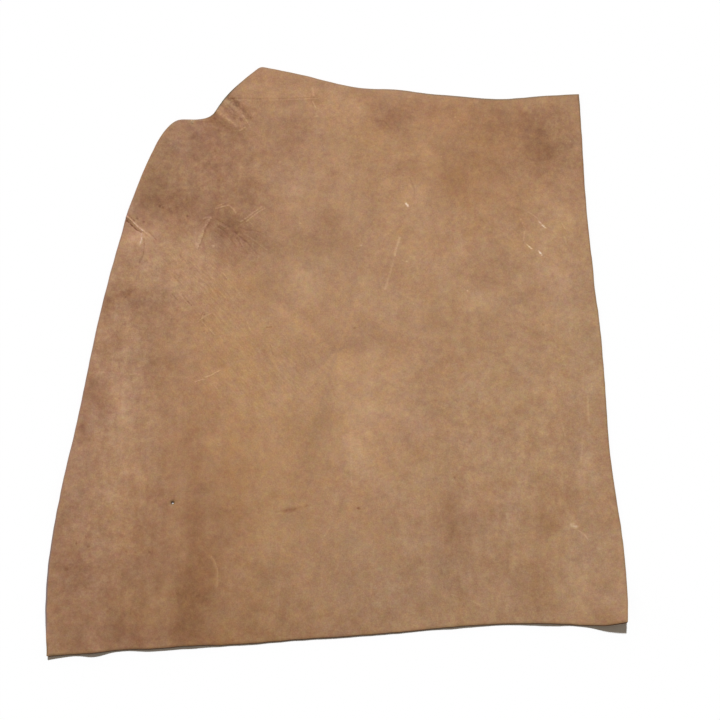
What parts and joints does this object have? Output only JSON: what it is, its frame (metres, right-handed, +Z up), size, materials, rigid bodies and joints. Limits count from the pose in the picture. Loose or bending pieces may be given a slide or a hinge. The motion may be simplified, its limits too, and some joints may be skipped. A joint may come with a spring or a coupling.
{
  "type": "leather shoulder",
  "caption": "Single shoulder of vegetable-tanned cattle leather, uncut, lying flat with its grain side up, for cutting into bags, belts, straps and cases.",
  "frame": {"origin": "middle of the hide's box, on the surface that it lies on", "axes": "+Z up out of the grain side, +Y from the rear cut to the neck, +X from the belly edge to the spine"},
  "size_m": [0.8586, 0.904, 0.018],
  "materials": {
    "leather": "matt natural grain, undyed tan, with a brown cut edge and a napped flesh side"
  },
  "bodies": {
    "root": {"hide": "leather"}
  },
  "joints": []
}
